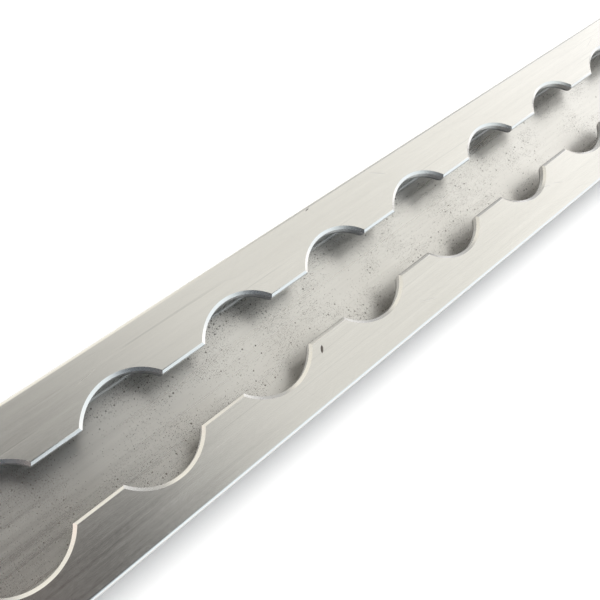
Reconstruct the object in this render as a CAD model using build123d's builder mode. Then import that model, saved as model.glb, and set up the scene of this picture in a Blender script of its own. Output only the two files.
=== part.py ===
"""Straight length of slotted track rail for round stud fittings.

One aluminium extrusion lying flat on its underside.  A T-shaped channel runs
the whole length under two lips, and round openings at an even pitch are milled
down through the lips, so that a stud can drop in and slide along.

X runs along the rail, Y across it and Z up.  The origin is the middle of the
underside.  All sizes are in millimetres.
"""

import os

from build123d import *

# ---- driving sizes ---------------------------------------------------------
pitch = 25.4  # from one round opening to the next
opening_count = 12  # round openings in this length
rail_width = 32.8
rail_height = 11.1

slot_width = 10.7  # between the two lips
opening_diameter = 19.3  # wall of a round opening
lip_thickness = 1.9
channel_width = 19.8  # inside the channel, wall to wall
channel_depth = 6.9  # from the top face down to the channel floor
cutter_overrun = 1.0  # how far the cutter runs on below the lips

rim_width = 0.6  # deburred edge around the slot and the openings, on the top face
rim_depth = 0.35  # the same edge, down the wall
outer_edge_round = 0.75  # long top edges
foot_edge_round = 0.4  # long bottom edges
floor_corner_round = 0.7  # channel wall into channel floor
lip_corner_round = 0.5  # channel wall into lip underside
nose_round = 0.8  # lower edge of each lip
end_chamfer = 0.3  # deburred saw cut

# ---- worked out from them --------------------------------------------------
rail_length = pitch * opening_count
floor_z = rail_height - channel_depth
lip_z = rail_height - lip_thickness
tiny = 0.001  # slack when an edge is picked by its place


def edges_along_x(part, y, z):
    """The straight edges along the rail that stand at this Y (either side) and Z."""
    along = part.edges().filter_by(Axis.X)
    return [
        edge
        for edge in along
        if abs(abs(edge.center().Y) - y) < tiny and abs(edge.center().Z - z) < tiny
    ]


# ---- the rail --------------------------------------------------------------
with BuildPart() as track_rail:
    # extruded section, drawn across the rail
    with BuildSketch(Plane.YZ):
        with Locations((0, rail_height / 2)):
            Rectangle(rail_width, rail_height)
        with Locations((0, (floor_z + lip_z) / 2)):
            Rectangle(channel_width, lip_z - floor_z, mode=Mode.SUBTRACT)
        with Locations((0, (lip_z + rail_height) / 2)):
            Rectangle(slot_width, lip_thickness, mode=Mode.SUBTRACT)
    extrude(amount=rail_length / 2, both=True)

    # long edges, rolled while the rail is still a plain extrusion
    fillet(edges_along_x(track_rail, rail_width / 2, rail_height), outer_edge_round)
    fillet(edges_along_x(track_rail, rail_width / 2, 0), foot_edge_round)
    fillet(edges_along_x(track_rail, channel_width / 2, floor_z), floor_corner_round)
    fillet(edges_along_x(track_rail, channel_width / 2, lip_z), lip_corner_round)
    fillet(edges_along_x(track_rail, slot_width / 2, lip_z), nose_round)

    # round openings, milled down through both lips
    with BuildSketch(Plane.XY.offset(rail_height)):
        with GridLocations(pitch, 1, opening_count, 1):
            Circle(opening_diameter / 2)
    extrude(amount=-(lip_thickness + cutter_overrun), mode=Mode.SUBTRACT)

    # deburred rim around the slot and every opening, one lip at a time
    rim_reach = opening_diameter / 2 + tiny
    for side in (0, -1):
        top_faces = track_rail.faces().filter_by(Axis.Z).group_by(Axis.Z)[-1]
        lip_face = top_faces.sort_by(Axis.Y)[side]
        rim = [
            edge
            for edge in lip_face.edges()
            if max(abs(edge.bounding_box().min.Y), abs(edge.bounding_box().max.Y)) < rim_reach
        ]
        chamfer(rim, rim_width, rim_depth, reference=lip_face)

    # deburred saw cut at both ends
    ends = track_rail.faces().filter_by(Axis.X).sort_by(Axis.X)
    chamfer(ends[0].edges() + ends[-1].edges(), end_chamfer)

track_rail.part.label = "track_rail"

os.makedirs("parts", exist_ok=True)
export_step(track_rail.part, "parts/track_rail.step")
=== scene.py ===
"""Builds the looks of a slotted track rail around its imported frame.

The rail is one aluminium extrusion.  Its section is swept along X, the round
openings are milled out of the lips, and one brushed metal finish covers it.
Sizes are metres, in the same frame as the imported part.
"""

import math
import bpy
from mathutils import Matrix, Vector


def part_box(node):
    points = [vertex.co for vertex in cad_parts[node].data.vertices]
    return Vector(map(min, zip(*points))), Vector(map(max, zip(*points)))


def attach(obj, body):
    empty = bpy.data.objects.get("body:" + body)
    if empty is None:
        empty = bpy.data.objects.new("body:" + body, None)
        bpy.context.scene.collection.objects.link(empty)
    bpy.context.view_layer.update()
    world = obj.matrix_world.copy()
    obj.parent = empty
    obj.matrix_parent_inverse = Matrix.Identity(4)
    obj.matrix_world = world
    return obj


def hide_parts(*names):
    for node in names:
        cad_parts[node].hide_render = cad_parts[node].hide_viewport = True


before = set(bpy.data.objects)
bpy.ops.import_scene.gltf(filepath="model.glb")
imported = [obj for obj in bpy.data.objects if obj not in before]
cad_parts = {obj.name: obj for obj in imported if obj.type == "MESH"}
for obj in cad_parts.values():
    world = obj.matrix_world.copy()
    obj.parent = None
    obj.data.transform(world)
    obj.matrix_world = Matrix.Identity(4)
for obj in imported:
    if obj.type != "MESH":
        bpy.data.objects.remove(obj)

from types import SimpleNamespace

import bpy
from bpy.props import FloatProperty, FloatVectorProperty, IntProperty, PointerProperty
from mathutils import Matrix, Vector

bl_info = {
    "name": "Track rail",
    "version": (1, 0, 0),
    "blender": (4, 5, 0),
    "location": "View3D > Sidebar > Track rail",
    "description": "Builds a milled track rail, its brushed finish and a plain studio",
    "category": "Add Mesh",
}

MM = 0.001
RAIL_NODE = "track_rail"
RAIL_LOW, RAIL_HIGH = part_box(RAIL_NODE)
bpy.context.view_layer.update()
SPINDLE_POINTS = 4  # in the cutter's profile
MERGE_WITHIN = 1e-6  # doubled points that the cut leaves
END_REACH = 1e-5  # how near the end plane an edge counts as being on it
SHARP_ANGLE = math.radians(25)  # steeper edges than this stay sharp
SQUARE_ANGLE = math.radians(60)  # the sawn ends' edges are steeper than this


# ---- settings --------------------------------------------------------------
def length(name, description, millimetres):
    """A length that a user can change, with its default in millimetres."""
    return FloatProperty(
        name=name,
        description=description,
        default=millimetres * MM,
        unit="LENGTH",
        precision=5,
        min=0.0,
    )


def share(name, description, value):
    """A plain amount from 0 to 1."""
    return FloatProperty(
        name=name, description=description, default=value, subtype="FACTOR", min=0.0, max=1.0
    )


def colour(name, description, value):
    """A linear colour."""
    return FloatVectorProperty(
        name=name, description=description, default=value, subtype="COLOR", min=0.0, max=1.0
    )


class RailSizes(bpy.types.PropertyGroup):
    pitch: length("Pitch", "From one round opening to the next", 25.4)
    slot_width: length("Slot width", "Between the two lips", 10.7)
    opening_diameter: length("Opening diameter", "Wall of a round opening", 19.3)
    lip_thickness: length("Lip thickness", "Top face to the lips' underside", 1.9)
    channel_width: length("Channel width", "Inside the channel, wall to wall", 19.8)
    channel_depth: length("Channel depth", "Top face to the channel floor", 6.9)
    cutter_overrun: length("Cutter overrun", "How far the cutter ran below the lips", 1.0)
    rim_width: length("Rim width", "Deburred edge of the slot and openings, on top", 0.6)
    rim_depth: length("Rim depth", "The same edge, down the wall", 0.35)
    rim_ease: length("Rim ease", "How far the chamfer's own edges are worn round", 0.34)
    outer_edge_round: length("Outer edge round", "Long top edges", 0.75)
    foot_edge_round: length("Foot edge round", "Long bottom edges", 0.4)
    floor_corner_round: length("Floor corner round", "Channel wall into floor", 0.7)
    lip_corner_round: length("Lip corner round", "Channel wall into lip underside", 0.5)
    nose_round: length("Nose round", "Lower edge of each lip", 0.8)
    end_chamfer: length("End chamfer", "Deburred saw cut", 0.3)
    corner_steps: IntProperty(
        name="Corner steps", description="Facets in each rolled corner", default=8, min=2, max=24
    )
    around_steps: IntProperty(
        name="Around steps", description="Facets around an opening", default=128, min=24, max=256
    )


class RailFinish(bpy.types.PropertyGroup):
    metal: colour("Metal", "Bare aluminium", (0.915, 0.9, 0.87))
    milled_metal: colour("Milled metal", "Walls left by the cutter", (0.78, 0.79, 0.81))
    dirt: colour("Dirt", "Grime in pits and nicks", (0.05, 0.038, 0.028))
    roughness: share("Roughness", "Of the clean brushed metal", 0.235)
    spread: share("Spread", "How much wider the gloss is across the brushing", 0.8)
    brushing: share("Brushing", "How strongly the lengthwise brushing shows", 0.5)
    pitting: share("Pitting", "How many dark pits the channel floor has", 0.6)
    scuffs: share("Scuffs", "How strongly handling scuffs show on the top", 0.2)


class StudioSettings(bpy.types.PropertyGroup):
    paper: colour("Paper", "The floor", (0.93, 0.93, 0.93))
    key_strength: FloatProperty(
        name="Key strength", description="Soft light from overhead", default=3.0, min=0.0
    )
    camera_place: FloatVectorProperty(
        name="Camera place",
        description="Where the camera stands",
        default=(-98.607 * MM, -10.917 * MM, 139.925 * MM),
        subtype="TRANSLATION",
        unit="LENGTH",
        precision=5,
    )
    camera_turn: FloatVectorProperty(
        name="Camera turn",
        description="Heading from +X, tilt below level and roll",
        default=tuple(math.radians(angle) for angle in (10.07, 60.2, 42.71)),
        subtype="EULER",
    )
    focal_length: FloatProperty(
        name="Focal length", description="On a sensor 36 mm wide", default=47.97, unit="CAMERA"
    )


# ---- node trees ------------------------------------------------------------
class Wire:
    """A node's output, with arithmetic that adds Math nodes to the same tree."""

    def __init__(self, tree, socket):
        self.tree = tree
        self.socket = socket

    def node(self, kind, settings=None, sockets=None, output=0):
        """Adds a node of any kind: settings first, then its sockets' values or links."""
        return add_node(self.tree, kind, settings, sockets, output)

    def maths(self, operation, *values):
        sockets = dict(enumerate((self, *values)))
        return self.node("ShaderNodeMath", {"operation": operation}, sockets)

    def __add__(self, other):
        return self.maths("ADD", other)

    __radd__ = __add__

    def __sub__(self, other):
        return self.maths("SUBTRACT", other)

    def __rsub__(self, other):
        return self * -1 + other

    def __mul__(self, other):
        return self.maths("MULTIPLY", other)

    __rmul__ = __mul__

    def __truediv__(self, other):
        return self.maths("DIVIDE", other)

    def __neg__(self):
        return self * -1


def add_node(tree, kind, settings=None, sockets=None, output=0):
    """Adds one node to a tree and returns a Wire on one of its outputs."""
    node = tree.nodes.new(kind)
    for name, value in (settings or {}).items():
        if name == "stops":
            set_ramp(node.color_ramp, value)
        else:
            setattr(node, name, value)
    for key, value in (sockets or {}).items():
        if isinstance(value, Wire):
            tree.links.new(value.socket, node.inputs[key])
        else:
            node.inputs[key].default_value = value
    return Wire(tree, node.outputs[output])


def set_ramp(ramp, stops):
    """Gives a colour ramp these (position, grey or colour) stops."""
    while len(ramp.elements) < len(stops):
        ramp.elements.new(1.0)
    for element, (position, value) in zip(ramp.elements, stops):
        element.position = position
        colour = (value, value, value) if isinstance(value, float) else value
        element.color = (*colour, 1.0)


def named_inputs(tree, sockets):
    """Adds the tree's inputs and returns a Wire on each, by name."""
    for name, kind in sockets.items():
        tree.interface.new_socket(name=name, in_out="INPUT", socket_type="NodeSocket" + kind)
    source = tree.nodes.new("NodeGroupInput")
    return {name: Wire(tree, source.outputs[name]) for name in sockets}


def apply_tree(piece, tree, values):
    """Runs a geometry tree on a piece with these named values."""
    modifier = piece.modifiers.new(tree.name, "NODES")
    modifier.node_group = tree
    for item in tree.interface.items_tree:
        if item.item_type == "SOCKET" and item.in_out == "INPUT" and item.name in values:
            modifier[item.identifier] = values[item.name]


def make_plain(piece):
    """Turns a piece and its modifiers into a plain mesh."""
    bpy.context.view_layer.update()
    seen = piece.evaluated_get(bpy.context.evaluated_depsgraph_get())
    mesh = bpy.data.meshes.new_from_object(seen)
    mesh.name = piece.name
    piece.modifiers.clear()
    piece.data = mesh


def brush_lengthwise(mesh):
    """Centres the texture space far off along -X, so that gloss spreads across the rail."""
    mesh.use_auto_texspace = False
    mesh.texspace_location = (-100.0, 0.0, 0.0)
    mesh.texspace_size = (1.0, 1.0, 1.0)


# ---- the rail's shape ------------------------------------------------------
def section_corners(sizes):
    """The section's corners as (across, up, round), once around from the underside."""
    top = RAIL_HIGH.z
    edge = RAIL_HIGH.y
    floor = top - sizes.channel_depth
    lip = top - sizes.lip_thickness
    slot = sizes.slot_width / 2
    wall = sizes.channel_width / 2
    right = [
        (edge, RAIL_LOW.z, sizes.foot_edge_round),
        (edge, top, sizes.outer_edge_round),
        (slot + sizes.rim_width, top, sizes.rim_ease),
        (slot, top - sizes.rim_depth, sizes.rim_ease),
        (slot, lip, sizes.nose_round),
        (wall, lip, sizes.lip_corner_round),
        (wall, floor, sizes.floor_corner_round),
    ]
    left = [(-across, up, corner) for across, up, corner in reversed(right)]
    return right + left


def section_mesh(sizes):
    """The section as a closed ring of edges that knows each corner's round."""
    corners = section_corners(sizes)
    count = len(corners)
    mesh = bpy.data.meshes.new("rail_section")
    places = [(across, up, 0) for across, up, corner in corners]
    mesh.from_pydata(places, [(i, (i + 1) % count) for i in range(count)], [])
    rounds = mesh.attributes.new("corner_round", "FLOAT", "POINT")
    rounds.data.foreach_set("value", [corner for across, up, corner in corners])
    return mesh


def milled_rail_tree():
    """Sweeps the section along X and mills a row of round openings out of it."""
    tree = bpy.data.node_groups.new("milled_rail", "GeometryNodeTree")
    tree.interface.new_socket(name="Geometry", in_out="OUTPUT", socket_type="NodeSocketGeometry")
    given = named_inputs(
        tree,
        {
            "Geometry": "Geometry",
            "Length": "Float",
            "Pitch": "Float",
            "Openings": "Int",
            "Opening Radius": "Float",
            "Rim Width": "Float",
            "Rim Depth": "Float",
            "Cut Depth": "Float",
            "Top": "Float",
            "Corner Steps": "Int",
            "Around Steps": "Int",
            "Material": "Material",
        },
    )
    make = given["Length"].node

    def place(x=0.0, y=0.0, z=0.0):
        return make("ShaderNodeCombineXYZ", sockets={"X": x, "Y": y, "Z": z})

    # extrusion: the section with its corners rolled, swept along the rail
    outline = make("GeometryNodeMeshToCurve", sockets={"Mesh": given["Geometry"]})
    corner_round = make(
        "GeometryNodeInputNamedAttribute", {"data_type": "FLOAT"}, {"Name": "corner_round"}
    )
    section = make(
        "GeometryNodeFilletCurve",
        {"mode": "POLY"},
        {"Curve": outline, "Count": given["Corner Steps"], "Radius": corner_round},
    )
    half = given["Length"] / 2
    path = make(
        "GeometryNodeCurvePrimitiveLine", sockets={"Start": place(-half), "End": place(half)}
    )
    bar = make(
        "GeometryNodeCurveToMesh",
        sockets={"Curve": path, "Profile Curve": section, "Fill Caps": True},
    )
    bar = make(
        "GeometryNodeTransform", sockets={"Geometry": bar, "Rotation": (math.pi, 0.0, 0.0)}
    )

    # cutter: a cylinder that flares out to leave the rim's chamfer.  Its four
    # points are -1 at the foot, 0 where the flare starts, 1 at the top face and
    # 2 clear of it.
    rail_top = given["Top"]
    depth = given["Rim Depth"]
    spindle = make(
        "GeometryNodeResampleCurve",
        {"mode": "COUNT"},
        {"Curve": make("GeometryNodeCurvePrimitiveLine"), "Count": SPINDLE_POINTS},
    )
    along = make("GeometryNodeSplineParameter", output="Index") - 1
    below = along.maths("MINIMUM", 0.0)
    flare = along.maths("MAXIMUM", 0.0)
    height = rail_top - depth + below * (given["Cut Depth"] - depth) + flare * depth
    spindle = make(
        "GeometryNodeSetPosition", sockets={"Geometry": spindle, "Position": place(z=height)}
    )
    radius = given["Opening Radius"] + flare * given["Rim Width"]
    circle = make(
        "GeometryNodeCurvePrimitiveCircle",
        {"mode": "RADIUS"},
        {"Resolution": given["Around Steps"], "Radius": 1.0},
    )
    cutter = make(
        "GeometryNodeCurveToMesh",
        sockets={"Curve": spindle, "Profile Curve": circle, "Scale": radius, "Fill Caps": True},
    )
    cutter = make(
        "GeometryNodeStoreNamedAttribute",
        {"data_type": "FLOAT", "domain": "FACE"},
        {"Geometry": cutter, "Name": "milled", "Value": 1.0},
    )

    # one cutter at each opening
    first = (given["Openings"] - 1) * given["Pitch"] * -0.5
    centres = make(
        "GeometryNodeMeshLine",
        {"mode": "OFFSET"},
        {
            "Count": given["Openings"],
            "Start Location": place(first),
            "Offset": place(given["Pitch"]),
        },
    )
    cutters = make(
        "GeometryNodeInstanceOnPoints", sockets={"Points": centres, "Instance": cutter}
    )
    cutters = make("GeometryNodeRealizeInstances", sockets={"Geometry": cutters})
    rail = make(
        "GeometryNodeMeshBoolean",
        {"operation": "DIFFERENCE", "solver": "EXACT"},
        {"Mesh 1": bar, "Mesh 2": cutters},
    )

    rail = make(
        "GeometryNodeMergeByDistance", sockets={"Geometry": rail, "Distance": MERGE_WITHIN}
    )

    # the edges around both sawn ends are marked for the bevel that follows
    angle = make("GeometryNodeInputMeshEdgeAngle")
    spot = make("ShaderNodeSeparateXYZ", sockets={"Vector": make("GeometryNodeInputPosition")})
    at_end = spot.maths("ABSOLUTE").maths("GREATER_THAN", half - END_REACH)
    square = angle.maths("GREATER_THAN", SQUARE_ANGLE)
    rail = make(
        "GeometryNodeStoreNamedAttribute",
        {"data_type": "FLOAT", "domain": "EDGE"},
        {"Geometry": rail, "Name": "bevel_weight_edge", "Value": at_end * square},
    )

    # slanted and rolled faces are marked for the finish
    facing = make("ShaderNodeSeparateXYZ", sockets={"Vector": make("GeometryNodeInputNormal")})
    lift = Wire(tree, facing.socket.node.outputs["Z"]).maths("ABSOLUTE")
    tilted = lift.maths("GREATER_THAN", 0.03) * lift.maths("LESS_THAN", 0.995)
    rail = make(
        "GeometryNodeStoreNamedAttribute",
        {"data_type": "FLOAT", "domain": "FACE"},
        {"Geometry": rail, "Name": "rolled", "Value": tilted},
    )

    # smooth over the rolled corners, sharp where faces meet at a real edge
    rail = make("GeometryNodeSetShadeSmooth", {"domain": "FACE"}, {"Geometry": rail})
    sharp = make(
        "FunctionNodeCompare",
        {"data_type": "FLOAT", "operation": "GREATER_THAN"},
        {0: angle, 1: SHARP_ANGLE},
    )
    rail = make(
        "GeometryNodeSetShadeSmooth",
        {"domain": "EDGE"},
        {"Geometry": rail, "Selection": sharp, "Shade Smooth": False},
    )
    rail = make("GeometryNodeRealizeInstances", sockets={"Geometry": rail})
    rail = make(
        "GeometryNodeSetMaterial", sockets={"Geometry": rail, "Material": given["Material"]}
    )
    out = tree.nodes.new("NodeGroupOutput")
    tree.links.new(rail.socket, out.inputs["Geometry"])
    return tree


# ---- finishes --------------------------------------------------------------
def new_material(name):
    """A material with its tree, its shader node and a Wire to start expressions from."""
    material = bpy.data.materials.new(name)
    material.use_nodes = True
    tree = material.node_tree
    shader = tree.nodes["Principled BSDF"]
    start = add_node(tree, "ShaderNodeTexCoord", output="Object")
    return material, shader, start


def in_millimetres(start):
    """Object coordinates in millimetres, whole and as X, Y and Z."""
    whole = start.node(
        "ShaderNodeVectorMath", {"operation": "SCALE"}, {0: start, "Scale": 1 / MM}
    )
    parts = whole.node("ShaderNodeSeparateXYZ", sockets={"Vector": whole})
    outputs = parts.socket.node.outputs
    return whole, *(Wire(start.tree, outputs[axis]) for axis in "XYZ")


def grain(place, cells, detail=2.0, roughness=0.5, turn=0.0):
    """Noise with this many cells in a millimetre along X, Y and Z."""
    laid = place.node(
        "ShaderNodeMapping",
        {"vector_type": "POINT"},
        {"Vector": place, "Rotation": (0.0, 0.0, math.radians(turn))},
    )
    stretched = place.node(
        "ShaderNodeVectorMath", {"operation": "MULTIPLY"}, {0: laid, 1: cells}
    )
    return place.node(
        "ShaderNodeTexNoise",
        {"noise_dimensions": "3D"},
        {"Vector": stretched, "Scale": 1.0, "Detail": detail, "Roughness": roughness},
    )


def between(value, low, high):
    """0 below low, 1 above high, and smooth between them (or the other way round)."""
    return value.node(
        "ShaderNodeMapRange",
        {"interpolation_type": "SMOOTHSTEP"},
        {"Value": value, "From Min": low, "From Max": high},
    )


def blend(amount, first, second):
    """A colour from first to second as the amount goes from 0 to 1."""
    return amount.node(
        "ShaderNodeMix", {"data_type": "RGBA"}, {"Factor": amount, 6: first, 7: second}, 2
    )


def filtered(seen, amount, tint):
    """A colour multiplied by a tint as the amount goes from 0 to 1."""
    return seen.node(
        "ShaderNodeMix",
        {"data_type": "RGBA", "blend_type": "MULTIPLY"},
        {"Factor": amount, 6: seen, 7: tint},
        2,
    )


def streak(x, y, centre, heading, half_length, half_width):
    """One scratch or nick with tapered ends: its middle, heading and half sizes."""
    turn = math.radians(heading)
    dx = x - centre[0]
    dy = y - centre[1]
    along = (dx * math.cos(turn) + dy * math.sin(turn)).maths("ABSOLUTE")
    across = (dy * math.cos(turn) - dx * math.sin(turn)).maths("ABSOLUTE")
    taper = between(along, half_length, half_length * 0.3) * half_width + 0.001
    return between(across / taper, 1.0, 0.4) * between(along, half_length, half_length * 0.8)


# marks on the top: middle x and y in millimetres, heading in degrees, then
# half length and half width in millimetres
NICKS = (((-28.8, -7.7), 52.0, 0.95, 0.38), ((-12.1, 15.6), 8.0, 0.55, 0.14))
SCRATCHES = (
    ((7.3, 14.0), -32.0, 2.2, 0.12),
    ((42.0, -9.6), -14.0, 2.6, 0.1),
    ((46.2, -10.7), -24.0, 2.2, 0.1),
    ((-66.0, 12.2), 8.0, 2.0, 0.08),
    ((-3.0, -12.9), -20.0, 2.4, 0.08),
    ((88.0, 12.4), 18.0, 3.0, 0.1),
    ((-118.0, -12.8), 11.0, 3.4, 0.1),
)
# pits, coarse to fine: cells in a millimetre, widest share of a cell, share kept, darkness
PIT_SIZES = ((1.15, 0.36, 0.5, 1.0), (2.6, 0.42, 1.3, 0.95), (4.2, 0.5, 2.4, 0.85))
SCUFF_TURNS = (14.0, -31.0, 63.0)  # degrees off the rail


def rail_zones(start, sizes):
    """Where on the rail a point lies, as masks from 0 to 1 with edges in millimetres."""
    _, x, y, z = in_millimetres(start)
    top = RAIL_HIGH.z / MM
    floor = top - sizes.channel_depth / MM
    rim_foot = top - sizes.rim_depth / MM
    channel = sizes.channel_width / 2 / MM
    edge = RAIL_HIGH.y / MM
    across = y.maths("ABSOLUTE")

    def marked(name):
        return start.node("ShaderNodeAttribute", {"attribute_name": name}, output="Fac")

    at_end = x.maths("ABSOLUTE").maths("GREATER_THAN", RAIL_HIGH.x / MM - 0.02)
    on_floor = z.maths("LESS_THAN", top - 0.7 * sizes.channel_depth / MM)
    on_floor = on_floor * across.maths("LESS_THAN", channel + 0.1) * (1 - at_end)

    # painted shade: the channel's walls and the gutters at their feet, which little light
    # reaches, are darkened
    walls = between(z, floor + 0.05, floor + 0.35) * between(z, top - 1.2, top - 1.8)
    walls = walls * between(across, channel + 0.4, channel + 0.2) * (1 - at_end)
    gutter = between(across, channel - 0.8, channel - 0.5) * on_floor * 0.7

    above_nose = between(z, top - 0.9, top - 0.7)
    return SimpleNamespace(
        on_top=between(z, top - 0.4, top - 0.1),
        on_floor=on_floor,
        painted_channel_shade=walls.maths("MAXIMUM", gutter),
        # painted dark reflection: the outer side faces, darkened in the colour below
        at_side=between(across, edge - 0.25, edge - 0.1),
        at_end=at_end,
        rim=marked("rolled") * above_nose * across.maths("LESS_THAN", channel),
        milled=marked("milled") * between(z, rim_foot + 0.02, rim_foot - 0.04),
    )


def die_lines(place):
    """A few thin broken lines along the rail, that the extrusion die drew."""
    lane = grain(place, (0.0012, 0.42, 0.42), detail=1.0)
    broken = between(grain(place, (0.06, 0.3, 0.3), detail=1.0), 0.42, 0.6)
    return between((lane - 0.5).maths("ABSOLUTE"), 0.012, 0.003) * broken


def floor_pits(start, sizes, pitting):
    """Round pits, thick around each opening and at the far wall, and thin between them."""
    place, x, y, _ = in_millimetres(start)
    pitch = sizes.pitch / MM
    opening = sizes.opening_diameter / 2 / MM
    channel = sizes.channel_width / 2 / MM

    # how far a point lies from the centre of the opening over it
    along = (x / pitch).maths("FRACT") * pitch - pitch / 2
    from_centre = (along * along + y * y).maths("SQRT")

    # how crowded the pits are
    around = between(from_centre, 0.35 * opening, 0.95 * opening)
    around = around * between(from_centre, 1.35 * opening, 0.95 * opening)
    by_wall = between(y, 0.6 * channel, 0.8 * channel) * around
    crowd = between(grain(place, (0.09, 0.17, 0.17), detail=2.0), 0.36, 0.62)
    dense = ((around * 0.7 + 0.3 + by_wall * 1.04) * crowd + 0.03) * pitting

    pits = 0.0
    for cells, widest, kept, darkness in PIT_SIZES:
        cell = start.node(
            "ShaderNodeTexVoronoi",
            {"voronoi_dimensions": "2D", "feature": "F1"},
            {"Vector": place, "Scale": cells, "Randomness": 0.75},
        )
        chance = start.node(
            "ShaderNodeSeparateColor",
            sockets={"Color": Wire(start.tree, cell.socket.node.outputs["Color"])},
        )
        size = Wire(start.tree, chance.socket.node.outputs["Green"])
        chosen = chance.maths("LESS_THAN", dense * kept) * darkness
        inside = (1 - cell / (size * widest * 0.5 + 0.06)).maths("MAXIMUM", 0.0)
        pits = inside.maths("MINIMUM", 1.0) * chosen + pits
    return between(pits, 0.0, 0.45)


def scuff_lines(place):
    """Fine handling scuffs that lie several ways."""
    scuff = 0.0
    for turn in SCUFF_TURNS:
        line = grain(place, (0.09, 5.0, 5.0), detail=0.0, turn=turn)
        scuff = between(line, 0.74, 0.8) + scuff
    return scuff


def placed_marks(start, marks):
    """Every mark of a list."""
    _, x, y, _ = in_millimetres(start)
    found = 0.0
    for centre, heading, half_length, half_width in marks:
        found = streak(x, y, centre, heading, half_length, half_width) + found
    return found


def brushed_aluminium(finish, sizes):
    """Brushed extrusion: streaks, stains, die lines, pits by the openings, scuffs, nicks, with
    painted shade in the channel and a painted dark reflection along the outer sides.
    """
    material, shader, start = new_material("brushed_aluminium")
    place, *_ = in_millimetres(start)
    zone = rail_zones(start, sizes)

    # brushing along the rail, fine over coarse
    fine = grain(place, (0.06, 6.0, 6.0), detail=3.0, roughness=0.6)
    coarse = grain(place, (0.015, 1.0, 1.0), detail=3.0)
    brush = (fine - 0.5) * 0.8 + (coarse - 0.5) * (0.7 + zone.on_floor * 1.8)
    brush = brush * finish.brushing
    stain = grain(place, (0.035, 0.16, 0.16), detail=4.0, roughness=0.6) - 0.5
    mottle = grain(place, (1.1, 1.6, 1.6), detail=4.0, roughness=0.65) - 0.5

    # lines, scratches, nicks and pits
    die_line = die_lines(place) * zone.on_top
    scuff = scuff_lines(place) * zone.on_top * finish.scuffs
    scratch = placed_marks(start, SCRATCHES) * zone.on_top * 0.8
    nick = placed_marks(start, NICKS) * zone.on_top
    pit = floor_pits(start, sizes, finish.pitting) * zone.on_floor
    grime = (pit + nick).maths("MINIMUM", 1.0)

    # colour
    tone = 1 + brush * 0.22 + stain * 0.10 + mottle * 0.05 - die_line * 0.09
    tone = tone - scratch * 0.18 - scuff * 0.12
    # painted shade: darker on the channel's walls and gutters, and a painted dark reflection
    # along the outer sides
    tone = tone * (1 - zone.painted_channel_shade * 0.6) * (1 - zone.at_side * 0.3)
    bare = blend(zone.milled, (*finish.metal, 1.0), (*finish.milled_metal, 1.0))
    shade = start.node(
        "ShaderNodeCombineColor", sockets={"Red": tone, "Green": tone, "Blue": tone}
    )
    dirty = blend(grime * 0.95, filtered(bare, 1.0, shade), (*finish.dirt, 1.0))
    start.tree.links.new(dirty.socket, shader.inputs["Base Color"])

    # gloss
    rough = finish.roughness + brush * 0.16 + stain * 0.10 + mottle * 0.08
    rough = rough + zone.rim * 0.04 + zone.on_floor * 0.07 + zone.at_end * 0.08
    rough = rough + (zone.painted_channel_shade + zone.at_side) * 0.15 + scratch * 0.15 + grime * 0.4
    start.tree.links.new(rough.maths("MAXIMUM", 0.12).socket, shader.inputs["Roughness"])
    start.tree.links.new((1 - grime * 0.7).socket, shader.inputs["Metallic"])

    # relief, in millimetres: brushing, tool rings on milled walls, saw marks at the ends
    rings = grain(place, (0.15, 0.15, 9.0)) * zone.milled
    saw = grain(place, (0.1, 0.35, 7.0)) * zone.at_end
    plain = (1 - zone.milled) * (1 - zone.at_end)
    height = brush * 0.002 * plain + rings * 0.008 + saw * 0.03
    height = height - scratch * 0.01 - nick * 0.03 - die_line * 0.004
    bump = height.node(
        "ShaderNodeBump", sockets={"Height": height, "Strength": 1.0, "Distance": MM}
    )
    start.tree.links.new(bump.socket, shader.inputs["Normal"])
    shader.inputs["Anisotropic"].default_value = finish.spread
    return material


def studio_paper(studio):
    """White paper with a faint tooth."""
    material, shader, start = new_material("studio_paper")
    place, *_ = in_millimetres(start)
    fibre = grain(place, (0.6, 0.6, 0.6), detail=3.0)
    shader.inputs["Base Color"].default_value = (*studio.paper, 1.0)
    shader.inputs["Roughness"].default_value = 0.9
    bump = fibre.node(
        "ShaderNodeBump", sockets={"Height": fibre * 0.01, "Strength": 0.3, "Distance": MM}
    )
    start.tree.links.new(bump.socket, shader.inputs["Normal"])
    return material


# the tent's brightness by its angle from the hood, in degrees
TENT_STOPS = (
    (0.0, (1.0, 0.62, 0.6), 0.16),
    (5.0, (1.0, 0.7, 0.67), 0.09),
    (8.0, (1.0, 0.85, 0.83), 0.04),
    (11.0, (1.0, 0.96, 0.94), 0.08),
    (14.0, (1.0, 0.995, 0.97), 0.2),
    (17.0, (1.0, 0.995, 0.96), 0.36),
    (20.0, (1.0, 0.99, 0.95), 0.51),
    (23.0, (1.0, 0.99, 0.94), 0.65),
    (27.0, (1.0, 0.99, 0.935), 0.73),
    (33.0, (1.0, 0.99, 0.935), 0.78),
    (39.0, (1.0, 0.99, 0.935), 0.78),
    (44.0, (1.0, 0.99, 0.935), 0.87),
    (50.0, (1.0, 0.99, 0.945), 1.0),
    (60.0, (1.0, 1.0, 0.99), 1.06),
    (76.0, (1.0, 1.0, 1.0), 1.06),
    (86.0, (0.95, 0.97, 1.0), 0.75),
)

# the tent's sides: axis, where each starts and is full along it, and its tint
TENT_SIDES = (
    ("X", 0.8, 0.95, (1.45, 1.43, 1.4)),  # a bright panel at the far end
    ("X", -0.3, -0.75, (1.1, 0.95, 0.9)),  # warm near the other end
    ("X", -0.8, -0.9, (0.7, 0.81, 0.86)),  # and plain grey past that
    ("Y", 0.4, 0.8, (0.97, 0.94, 0.86)),  # cream
    ("Y", -0.3, -0.65, (0.94, 1.05, 1.15)),  # blue
)

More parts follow.
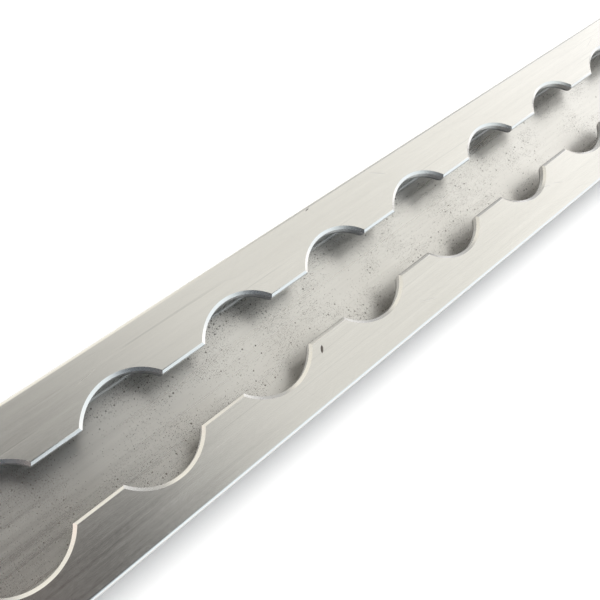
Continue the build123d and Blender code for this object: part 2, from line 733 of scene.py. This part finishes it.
# a grey screen between +X and +Y: where it starts and is full, and its tint
SCREEN_ALONG_X = (0.3, 0.55)
SCREEN_ALONG_Y = (0.4, 0.55)
SCREEN_TINT = (0.5, 0.51, 0.53, 1.0)

# the tent's open mouth: its way, where it starts and is full along and beside
# that way, and the tint of what little light comes from it
MOUTH = Vector((-0.54, -0.84, 0.0))
MOUTH_ALONG = (0.0, 0.2)
MOUTH_BESIDE = (0.62, 0.36)
MOUTH_TINT = (0.13, 0.135, 0.15, 1.0)

HOOD = Vector((0.0, -0.07, 1.0)).normalized()
UP = Vector((0.0, 0.0, 1.0))
KEY_FROM = Vector((0.1, 0.3, 0.95))
KEY_SPREAD = math.radians(60)
FLOOR_SIZE = 6
SENSOR_WIDTH = 36  # millimetres


def studio_light():
    """A bright tent with a dark hood overhead, a grey screen and a dark mouth."""
    world = bpy.data.worlds.new("studio")
    world.use_nodes = True
    tree = world.node_tree
    tree.nodes.clear()
    direction = add_node(tree, "ShaderNodeTexCoord", output="Generated")

    def towards(way):
        return direction.node(
            "ShaderNodeVectorMath", {"operation": "DOT_PRODUCT"}, {0: direction, 1: way}, "Value"
        )

    off_hood = towards(HOOD).maths("ARCCOSINE") / (math.pi / 2)
    stops = tuple(
        (angle / 90, tuple(part * level for part in tint)) for angle, tint, level in TENT_STOPS
    )
    seen = direction.node("ShaderNodeValToRGB", {"stops": stops}, {"Fac": off_hood})
    parts = direction.node("ShaderNodeSeparateXYZ", sockets={"Vector": direction})
    ways = {axis: Wire(tree, parts.socket.node.outputs[axis]) for axis in "XY"}
    for axis, starts, full, tint in TENT_SIDES:
        seen = filtered(seen, between(ways[axis], starts, full), (*tint, 1.0))
    screened = between(ways["X"], *SCREEN_ALONG_X) * between(ways["Y"], *SCREEN_ALONG_Y)
    seen = filtered(seen, screened, SCREEN_TINT)
    beside = towards(MOUTH.cross(UP)).maths("ABSOLUTE")
    opened = between(towards(MOUTH), *MOUTH_ALONG) * between(beside, *MOUTH_BESIDE)
    seen = filtered(seen, opened, MOUTH_TINT)
    light = direction.node("ShaderNodeBackground", sockets={"Color": seen, "Strength": 1.0})
    out = tree.nodes.new("ShaderNodeOutputWorld")
    tree.links.new(light.socket, out.inputs["Surface"])
    return world


# ---- operators -------------------------------------------------------------
class AddTrackRail(bpy.types.Operator):
    """Build the rail in place of its frame node"""

    bl_idname = "track_rail.add_rail"
    bl_label = "Add track rail"

    def execute(self, context):
        sizes = context.scene.rail_sizes
        rail = bpy.data.objects.new("milled_rail", section_mesh(sizes))
        context.scene.collection.objects.link(rail)
        rail_length = RAIL_HIGH.x - RAIL_LOW.x
        apply_tree(
            rail,
            milled_rail_tree(),
            {
                "Length": rail_length,
                "Pitch": sizes.pitch,
                "Openings": round(rail_length / sizes.pitch),
                "Opening Radius": sizes.opening_diameter / 2,
                "Rim Width": sizes.rim_width,
                "Rim Depth": sizes.rim_depth,
                "Cut Depth": sizes.lip_thickness + sizes.cutter_overrun,
                "Top": RAIL_HIGH.z,
                "Corner Steps": sizes.corner_steps,
                "Around Steps": sizes.around_steps,
                "Material": brushed_aluminium(context.scene.rail_finish, sizes),
            },
        )
        bevel = rail.modifiers.new("end_chamfer", "BEVEL")
        bevel.limit_method = "WEIGHT"
        bevel.width = sizes.end_chamfer
        bevel.segments = 1
        bevel.use_clamp_overlap = False
        normals = rail.modifiers.new("flat_faces_lead", "WEIGHTED_NORMAL")
        normals.keep_sharp = True
        make_plain(rail)
        brush_lengthwise(rail.data)
        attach(rail, "root")
        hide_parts(RAIL_NODE)
        return {"FINISHED"}


class AddStage(bpy.types.Operator):
    """Add the floor, the lights and the camera"""

    bl_idname = "track_rail.add_stage"
    bl_label = "Add studio"

    def execute(self, context):
        scene = context.scene
        studio = scene.rail_studio
        scene.view_settings.view_transform = "Standard"
        bpy.ops.mesh.primitive_plane_add(size=FLOOR_SIZE)
        floor = context.object
        floor.name = "floor"
        floor.data.materials.append(studio_paper(studio))
        scene.world = studio_light()
        key = bpy.data.lights.new("key", "SUN")
        key.energy = studio.key_strength
        key.angle = KEY_SPREAD
        lamp = bpy.data.objects.new("key", key)
        lamp.rotation_euler = KEY_FROM.to_track_quat("Z", "Y").to_euler()
        lamp.visible_glossy = False
        scene.collection.objects.link(lamp)
        lens = bpy.data.cameras.new("camera")
        lens.lens = studio.focal_length
        lens.sensor_width = SENSOR_WIDTH
        lens.clip_start = 5 * MM
        camera = bpy.data.objects.new("camera", lens)
        scene.collection.objects.link(camera)
        heading, tilt, roll = studio.camera_turn
        level = math.cos(tilt)
        forward = Vector((math.cos(heading) * level, math.sin(heading) * level, -math.sin(tilt)))
        turn = forward.to_track_quat("-Z", "Y").to_matrix().to_4x4()
        place = Matrix.Translation(studio.camera_place)
        camera.matrix_world = place @ turn @ Matrix.Rotation(roll, 4, "Z")
        scene.camera = camera
        return {"FINISHED"}


class TrackRailPanel(bpy.types.Panel):
    bl_idname = "VIEW3D_PT_track_rail"
    bl_label = "Track rail"
    bl_space_type = "VIEW_3D"
    bl_region_type = "UI"
    bl_category = "Track rail"

    def draw(self, context):
        layout = self.layout
        scene = context.scene
        for settings in (scene.rail_sizes, scene.rail_finish, scene.rail_studio):
            for name in type(settings).__annotations__:
                layout.prop(settings, name)
        layout.operator(AddTrackRail.bl_idname)
        layout.operator(AddStage.bl_idname)


CLASSES = (RailSizes, RailFinish, StudioSettings, AddTrackRail, AddStage, TrackRailPanel)


def register():
    for item in CLASSES:
        bpy.utils.register_class(item)
    bpy.types.Scene.rail_sizes = PointerProperty(type=RailSizes)
    bpy.types.Scene.rail_finish = PointerProperty(type=RailFinish)
    bpy.types.Scene.rail_studio = PointerProperty(type=StudioSettings)


def unregister():
    del bpy.types.Scene.rail_studio
    del bpy.types.Scene.rail_finish
    del bpy.types.Scene.rail_sizes
    for item in reversed(CLASSES):
        bpy.utils.unregister_class(item)


def main():
    register()
    bpy.ops.track_rail.add_rail()
    bpy.ops.track_rail.add_stage()


if __name__ == "__main__":
    main()
